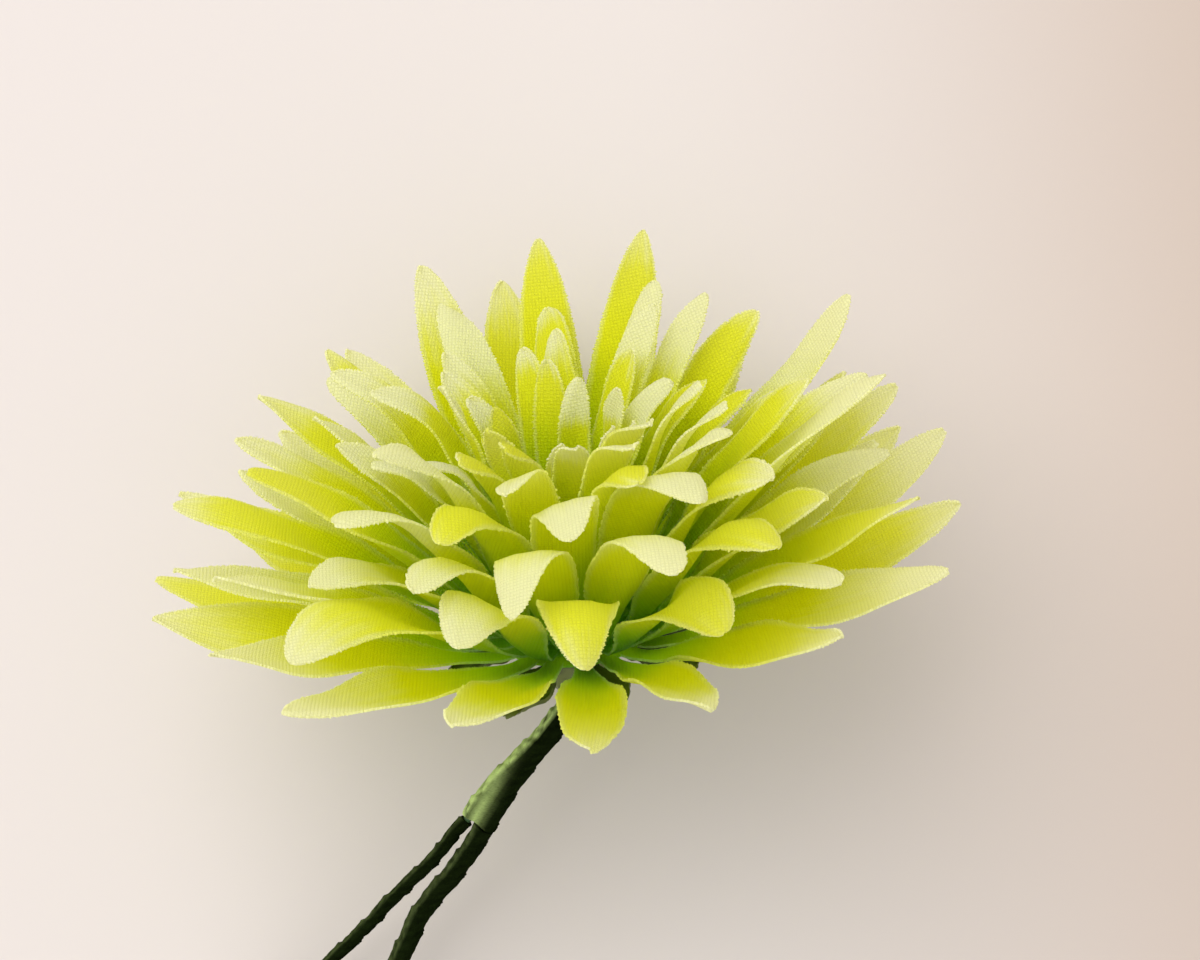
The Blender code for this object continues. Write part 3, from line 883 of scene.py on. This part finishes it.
def rod(name, route, radius, material):
    """A round wire whose far end is pinched as side cutters leave it."""
    sides = WIRE_SIDES
    side, up = route_frames(route)
    far = distances(route)
    left = far[-1] - far
    pinch = np.clip(left / (1.1 * radius), 0.0, 1.0) ** 0.5
    turns = math.tau * (np.arange(sides) + 0.5) / sides
    s = radius * np.cos(turns)[None] * (0.9 + 0.1 * pinch[:, None])
    v = radius * np.sin(turns)[None] * (0.12 + 0.88 * pinch[:, None])
    points = route[:, None] + side[:, None] * s[..., None] + up[:, None] * v[..., None]
    faces = ring_faces(len(route), sides, 0)
    faces += [tuple(range(sides))[::-1], tuple((len(route) - 1) * sides + k for k in range(sides))]
    return mesh_piece(name, points.reshape(-1, 3), faces, {}, material)


def ring_faces(rows, sides, first, inside=False):
    """The quads of a tube whose rings of points follow each other from the point first."""
    faces = []
    for i in range(rows - 1):
        for k in range(sides):
            a = first + i * sides
            quad = (a + k, a + (k + 1) % sides, a + sides + (k + 1) % sides, a + sides + k)
            faces.append(quad[::-1] if inside else quad)
    return faces


def wound_sleeve(name, route, loops, tape, seed, material, rim_light_share):
    """Tape wound along a route. loops gives the plain sleeve's (side, up) grids, outer and inner.

    It is paler where it is stretched between two wires, and along one side a rim light is painted pale, as
    strongly as the rim light's share says.
    """
    side, up = route_frames(route)
    far = distances(route)
    outer, inner = loops
    rows, sides = outer.shape[:2]
    turns = (np.arange(sides) + 0.5) / sides
    spread = np.ptp(outer[..., 0], axis=1)
    parted = np.clip((spread - spread.min()) / WIRES_APART, 0.0, 1.0)[:, None]
    web = parted * np.exp(-(((outer[..., 0] - 0.70 * WIRES_APART) / (0.55 * MM)) ** 2))
    radial = outer - outer.mean(axis=1, keepdims=True)
    radial /= np.linalg.norm(radial, axis=2)[..., None]
    bend = np.random.default_rng(seed)
    waver = np.interp(far, np.linspace(0, far[-1], 9), bend.uniform(-0.16, 0.16, 9))
    phase = (far[:, None] / tape.pitch + waver[:, None] + turns[None]) % 1.0
    lap = (1 - phase) ** 0.8 * smooth_step(phase / 0.05) + 0.45 * np.exp(-(((phase - 0.05) / 0.045) ** 2))
    spots = [(3 * math.cos(math.tau * a), 3 * math.sin(math.tau * a) + seed) for a in turns]
    rough = np.array([[noise.noise(Vector((f * 1500, *spot))) for spot in spots] for f in far])
    swell = tape.ridge * (lap - 0.35) + tape.ridge * 0.5 * rough
    # Painted rim light: a pale band along one side of the sleeve, where the light would catch its edge
    painted_rim_light = smooth_step((np.cos(math.tau * turns - 0.35) - 0.60) / 0.26)[None] * (0.8 + rough)
    # The pale share adds the stretch between the two wires and the painted rim light
    stretched = np.clip(web + rim_light_share * painted_rim_light, 0.0, 1.0)
    outer = outer + radial * swell[..., None]
    grids = []
    for grid in (outer, inner):
        grids.append(route[:, None] + side[:, None] * grid[..., :1] + up[:, None] * grid[..., 1:])
    points = np.concatenate([g.reshape(-1, 3) for g in grids])
    points[:, 2] = np.maximum(points[:, 2], 0.02 * MM)
    half = rows * sides
    faces = ring_faces(rows, sides, 0) + ring_faces(rows, sides, half, inside=True)
    for k in range(sides):
        after = (k + 1) % sides
        faces.append((after, k, half + k, half + after))
        end = (rows - 1) * sides
        faces.append((end + k, end + after, half + end + after, half + end + k))
    along = np.repeat(far / MM, sides)
    around = np.tile(turns * math.tau, rows)
    lead = (along / (tape.pitch / MM) + around / math.tau) % 1.0
    wrap = np.stack([around + along * 0.3, lead * tape.pitch / MM], axis=1)
    wrap = np.concatenate([wrap, wrap])
    web = np.concatenate([stretched.ravel()] * 2)
    maps = {"wrap": wrap, "web": np.stack([web, web], axis=1)}
    return mesh_piece(name, points, faces, maps, material)


def round_loops(rows, sides, outer, inner):
    """A plain round sleeve, as the outer and the inner grid."""
    turns = math.tau * (np.arange(sides) + 0.5) / sides
    ring = np.stack([np.cos(turns), np.sin(turns)], axis=1)
    return np.tile(ring * outer, (rows, 1, 1)), np.tile(ring * inner, (rows, 1, 1))


def mouth_loops(opened, sides):
    """A sleeve that widens to take in the second wire beside the first."""
    turns = math.tau * (np.arange(sides) + 0.5) / sides
    s, v = np.cos(turns)[None], np.sin(turns)[None]
    share = opened[:, None]
    towards = smooth_step((s + 0.35) / 0.7) * share
    plain = STEM_TAPE - STEM_WIRE
    wall = plain + (MOUTH_WALL - plain) * share
    loops = []
    for reach in (0.0, 1.0):
        thin = wall - reach * (wall - 0.06 * MM)
        radius = STEM_WIRE + thin + (SIDE_WIRE - STEM_WIRE) * towards
        across = WIRES_APART * towards + radius * s
        waist = np.exp(-(((across - 0.55 * WIRES_APART) / (0.42 * MM)) ** 2)) * share**2
        up = radius * v * (1 - 0.5 * (1 - reach) * waist)
        loops.append(np.stack([across, up], axis=2))
    return loops


# Settings


class PetalSettings(bpy.types.PropertyGroup):
    thickness: bpy.props.FloatProperty(
        name="Thickness", description="Thickness of the cloth", default=0.0002, unit="LENGTH"
    )
    thread: bpy.props.FloatProperty(
        name="Thread Pitch", description="Distance between threads", default=0.0003, unit="LENGTH"
    )
    fray: bpy.props.FloatProperty(
        name="Fray", description="How far cut threads stand out of an edge", default=0.00015, unit="LENGTH"
    )
    row: bpy.props.FloatProperty(
        name="Row",
        description="Distance between rows of the mesh along a petal",
        default=0.001,
        unit="LENGTH",
    )
    tip: bpy.props.FloatVectorProperty(
        name="Tip", description="Dye at the tips", subtype="COLOR", default=(0.95, 0.95, 0.74)
    )
    middle: bpy.props.FloatVectorProperty(
        name="Middle", description="Dye of the middle", subtype="COLOR", default=(0.84, 0.86, 0.003)
    )
    base: bpy.props.FloatVectorProperty(
        name="Base", description="Dye near the disc", subtype="COLOR", default=(0.38, 0.66, 0.002)
    )
    root: bpy.props.FloatVectorProperty(
        name="Root", description="Dye of the disc itself", subtype="COLOR", default=(0.10, 0.36, 0.02)
    )
    glow_tip: bpy.props.FloatVectorProperty(
        name="Glow of Tip",
        description="Light through the tips",
        subtype="COLOR",
        default=(0.95, 0.96, 0.50),
    )
    glow_middle: bpy.props.FloatVectorProperty(
        name="Glow of Middle",
        description="Light through the middle",
        subtype="COLOR",
        default=(0.94, 0.98, 0.004),
    )
    glow_base: bpy.props.FloatVectorProperty(
        name="Glow of Base",
        description="Light through the base",
        subtype="COLOR",
        default=(0.62, 0.90, 0.005),
    )
    see_through: bpy.props.FloatProperty(
        name="See Through", description="Share of light that passes", default=0.6, subtype="FACTOR"
    )


class CalyxSettings(bpy.types.PropertyGroup):
    clean: bpy.props.FloatVectorProperty(
        name="Green",
        description="Colour of the moulded calyx",
        subtype="COLOR",
        default=(0.10, 0.13, 0.008),
    )
    worn: bpy.props.FloatVectorProperty(
        name="Dull Green",
        description="Colour where it is dull",
        subtype="COLOR",
        default=(0.045, 0.055, 0.004),
    )


class TapeSettings(bpy.types.PropertyGroup):
    pitch: bpy.props.FloatProperty(
        name="Lap", description="Distance between laps along the wire", default=0.0036, unit="LENGTH"
    )
    ridge: bpy.props.FloatProperty(
        name="Ridge", description="Height of a lap's edge", default=0.00016, unit="LENGTH"
    )
    dark: bpy.props.FloatVectorProperty(
        name="Dark", description="Colour of the tape", subtype="COLOR", default=(0.003, 0.005, 0.0015)
    )
    light: bpy.props.FloatVectorProperty(
        name="Light", description="Colour of its worn places", subtype="COLOR", default=(0.010, 0.018, 0.004)
    )
    # Pale colour of stretched tape, used as well for the rim light painted along one side
    stretched: bpy.props.FloatVectorProperty(
        name="Stretched",
        description="Colour where it is stretched",
        subtype="COLOR",
        default=(0.56, 0.74, 0.26),
    )


class StageSettings(bpy.types.PropertyGroup):
    floor: bpy.props.FloatVectorProperty(
        name="Floor", description="Colour of the table", subtype="COLOR", default=(0.645, 0.60, 0.58)
    )
    # Painted shade: the table's colour turns to this away from the window, standing in for the light falling
    # off there
    shade: bpy.props.FloatVectorProperty(
        name="Shade",
        description="Colour of the table away from the window",
        subtype="COLOR",
        default=(0.47, 0.375, 0.305),
    )
    key: bpy.props.FloatProperty(
        name="Key Light", description="Power of the key light", default=26.0, unit="POWER"
    )
    sky: bpy.props.FloatProperty(name="Sky", description="Strength of the light all round", default=0.95)


# Operators


class BOUTONNIERE_OT_petals(bpy.types.Operator):
    """Cut, dye and shape the discs of petals"""

    bl_idname = "object.boutonniere_petals"
    bl_label = "Petal Discs"

    def execute(self, context):
        cloth = context.scene.boutonniere_petals
        for level, whorl in enumerate(WHORLS):
            material = petal_material(f"{whorl.name}_cloth", level, cloth)
            height = (level + 0.5) * DISC_PITCH
            points, faces, maps = die_cut_sheet(whorl, height, cloth.thread, cloth.fray, cloth.row)
            points = press_on_table(points, cloth.thickness * 0.75)
            piece = mesh_piece(f"{whorl.name}_petals", points, faces, maps, material)
            thicken(piece, cloth.thickness)
            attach(piece, "root")
            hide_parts(whorl.name)
        return {"FINISHED"}


class BOUTONNIERE_OT_calyx(bpy.types.Operator):
    """Mould the calyx"""

    bl_idname = "object.boutonniere_calyx"
    bl_label = "Calyx"

    def execute(self, context):
        green = context.scene.boutonniere_calyx
        material = worn_material("calyx_plastic", green.clean, green.worn, 0.42)
        points, faces, _ = die_cut_sheet(CALYX, CALYX_HEIGHT, 0.5 * MM, 0.05 * MM, 0.7 * MM)
        turns = math.tau * np.arange(CUP_SIDES) / CUP_SIDES
        ribs = 1 + CUP_RIB * np.cos(turns * CALYX.count)
        rings = []
        for radius, height in CUP_PROFILE:
            reach = radius * MM * ribs
            level = np.full(CUP_SIDES, height * MM)
            rings.append(np.stack([reach * np.cos(turns), reach * np.sin(turns), level], axis=1))
        first = len(points)
        points = np.concatenate([points, *rings])
        faces = faces + [f[::-1] for f in ring_faces(len(CUP_PROFILE), CUP_SIDES, first)]
        points = press_on_table(points, 0.1 * MM)
        piece = mesh_piece("calyx_cup", points, faces, {}, material)
        thicken(piece, CALYX_WALL)
        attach(piece, "root")
        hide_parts("calyx")
        return {"FINISHED"}


class BOUTONNIERE_OT_pin(bpy.types.Operator):
    """Finish the plastic pin that holds the discs"""

    bl_idname = "object.boutonniere_pin"
    bl_label = "Pin"

    def execute(self, context):
        material = worn_material("pin_plastic", PIN_GREEN, PIN_DULL, 0.4)
        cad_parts["hub_pin"].data.materials[0] = material
        return {"FINISHED"}


class BOUTONNIERE_OT_wires(bpy.types.Operator):
    """Draw the two lacquered wires"""

    bl_idname = "object.boutonniere_wires"
    bl_label = "Wires"

    def execute(self, context):
        stem, side, *_ = stem_routes(0.5 * MM)
        for name, route, radius in (("stem_wire", stem, STEM_WIRE), ("side_wire", side, SIDE_WIRE)):
            material = worn_material(f"{name}_lacquer", WIRE_LACQUER, WIRE_RUBBED, 0.32)
            piece = rod(f"{name}_drawn", route, radius, material)
            settle(piece, 40)
            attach(piece, "root")
            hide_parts(name)
        return {"FINISHED"}


class BOUTONNIERE_OT_tape(bpy.types.Operator):
    """Wind crepe tape round the wires"""

    bl_idname = "object.boutonniere_tape"
    bl_label = "Tape"

    def execute(self, context):
        tape = context.scene.boutonniere_tape
        _, _, sleeve, opened, leg, side_leg = stem_routes(SLEEVE_STEP)
        leg_loops = round_loops(len(leg), SLEEVE_SIDES, LEG_TAPE, STEM_WIRE + TAPE_GAP)
        side_loops = round_loops(len(side_leg), SLEEVE_SIDES, SIDE_TAPE, SIDE_WIRE + TAPE_GAP)
        # The last number of each sleeve is how strongly a rim light is painted along one side
        wound = (
            ("stem_tape", sleeve, mouth_loops(opened, SLEEVE_SIDES), 3, 1.0),
            ("leg_tape", leg, leg_loops, 5, 0.12),
            ("side_tape", side_leg, side_loops, 8, 0.08),
        )
        for name, route, loops, seed, rim_light_share in wound:
            material = tape_material(f"{name}_paper", tape)
            piece = wound_sleeve(f"{name}_wrap", route, loops, tape, seed, material, rim_light_share)
            settle(piece, 70)
            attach(piece, "root")
            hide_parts(name)
        return {"FINISHED"}


class BOUTONNIERE_OT_stage(bpy.types.Operator):
    """Set out the table, the lights and the camera"""

    bl_idname = "object.boutonniere_stage"
    bl_label = "Stage"

    def execute(self, context):
        scene = context.scene
        stage = scene.boutonniere_stage
        mesh = bpy.data.meshes.new("table_top")
        corners = [(x * TABLE_HALF, y * TABLE_HALF, 0) for x, y in ((-1, -1), (1, -1), (1, 1), (-1, 1))]
        mesh.from_pydata(corners, [], [(0, 1, 2, 3)])
        table = bpy.data.objects.new("table_top", mesh)
        scene.collection.objects.link(table)
        material, nodes, surface = fresh_material("table_paint", TABLE_FINISH)
        x, _, _ = nodes.parts(nodes.place())
        # Painted shade: the table's colour darkens along x, as the light would fall off away from the window
        painted_shade_share = nodes.ease(x, PAINTED_SHADE_FROM, PAINTED_SHADE_TO)
        nodes.put(surface.inputs["Base Color"], nodes.mix(painted_shade_share, (*stage.floor, 1), (*stage.shade, 1)))
        mesh.materials.append(material)

        lamp = bpy.data.lights.new("window_light", "AREA")
        lamp.shape = "RECTANGLE"
        lamp.size, lamp.size_y = WINDOW_SIZE
        lamp.energy = stage.key
        lamp.color = WINDOW_COLOUR
        window = bpy.data.objects.new("window_light", lamp)
        window.location = WINDOW_PLACE
        aim = Vector(WINDOW_AIM) - window.location
        window.rotation_euler = aim.to_track_quat("-Z", "Y").to_euler()
        scene.collection.objects.link(window)

        world = bpy.data.worlds.new("studio_air")
        world.use_nodes = True
        air = world.node_tree.nodes["Background"]
        air.inputs["Color"].default_value = AIR_COLOUR
        air.inputs["Strength"].default_value = stage.sky
        scene.world = world
        scene.view_settings.view_transform = "Standard"

        set_camera(scene)
        return {"FINISHED"}


def set_camera(scene):
    """A camera above the bloom, aimed so that the hub falls on its pixel."""
    turn = bloom_matrix().to_3x3()
    hub = Vector(HUB)
    towards = (turn @ Vector((0, -math.cos(VIEW_RISE), math.sin(VIEW_RISE)))).normalized()
    upward = (turn @ Vector((0, math.sin(VIEW_RISE), math.cos(VIEW_RISE)))).normalized()
    right = upward.cross(towards)
    upward = upward * math.cos(VIEW_ROLL) + right * math.sin(VIEW_ROLL)
    right = upward.cross(towards)
    place = hub + towards * DISTANCE
    aside = (PHOTO_WIDTH / 2 - HUB_PIXEL[0]) / SCALE
    above = (HUB_PIXEL[1] - PHOTO_HEIGHT / 2) / SCALE
    aim = hub + right * aside + upward * above
    back = (place - aim).normalized()
    right = upward.cross(back).normalized()
    upward = back.cross(right)
    data = bpy.data.cameras.new("photo_camera")
    camera = bpy.data.objects.new("photo_camera", data)
    camera.matrix_world = Matrix.Translation(place) @ Matrix((right, upward, back)).transposed().to_4x4()
    data.sensor_width = SENSOR_WIDTH
    data.lens = SENSOR_WIDTH * SCALE * DISTANCE / PHOTO_WIDTH
    data.clip_start = 0.01
    scene.collection.objects.link(camera)
    scene.camera = camera


class BOUTONNIERE_PT_panel(bpy.types.Panel):
    bl_label = "Boutonniere"
    bl_idname = "BOUTONNIERE_PT_panel"
    bl_space_type = "VIEW_3D"
    bl_region_type = "UI"
    bl_category = "Boutonniere"

    def draw(self, context):
        for operator in OPERATORS:
            self.layout.operator(operator.bl_idname)
        for key, group in SETTINGS.items():
            box = self.layout.box()
            for name in group.__annotations__:
                box.prop(getattr(context.scene, key), name)


OPERATORS = (
    BOUTONNIERE_OT_petals,
    BOUTONNIERE_OT_calyx,
    BOUTONNIERE_OT_pin,
    BOUTONNIERE_OT_wires,
    BOUTONNIERE_OT_tape,
    BOUTONNIERE_OT_stage,
)
SETTINGS = {
    "boutonniere_petals": PetalSettings,
    "boutonniere_calyx": CalyxSettings,
    "boutonniere_tape": TapeSettings,
    "boutonniere_stage": StageSettings,
}


def register():
    for kind in (*SETTINGS.values(), *OPERATORS, BOUTONNIERE_PT_panel):
        bpy.utils.register_class(kind)
    for key, group in SETTINGS.items():
        setattr(bpy.types.Scene, key, bpy.props.PointerProperty(type=group))


def unregister():
    for key in SETTINGS:
        delattr(bpy.types.Scene, key)
    for kind in reversed((*SETTINGS.values(), *OPERATORS, BOUTONNIERE_PT_panel)):
        bpy.utils.unregister_class(kind)


def main():
    register()
    bpy.ops.object.boutonniere_petals()
    bpy.ops.object.boutonniere_calyx()
    bpy.ops.object.boutonniere_pin()
    bpy.ops.object.boutonniere_wires()
    bpy.ops.object.boutonniere_tape()
    bpy.ops.object.boutonniere_stage()


if __name__ == "__main__":
    main()
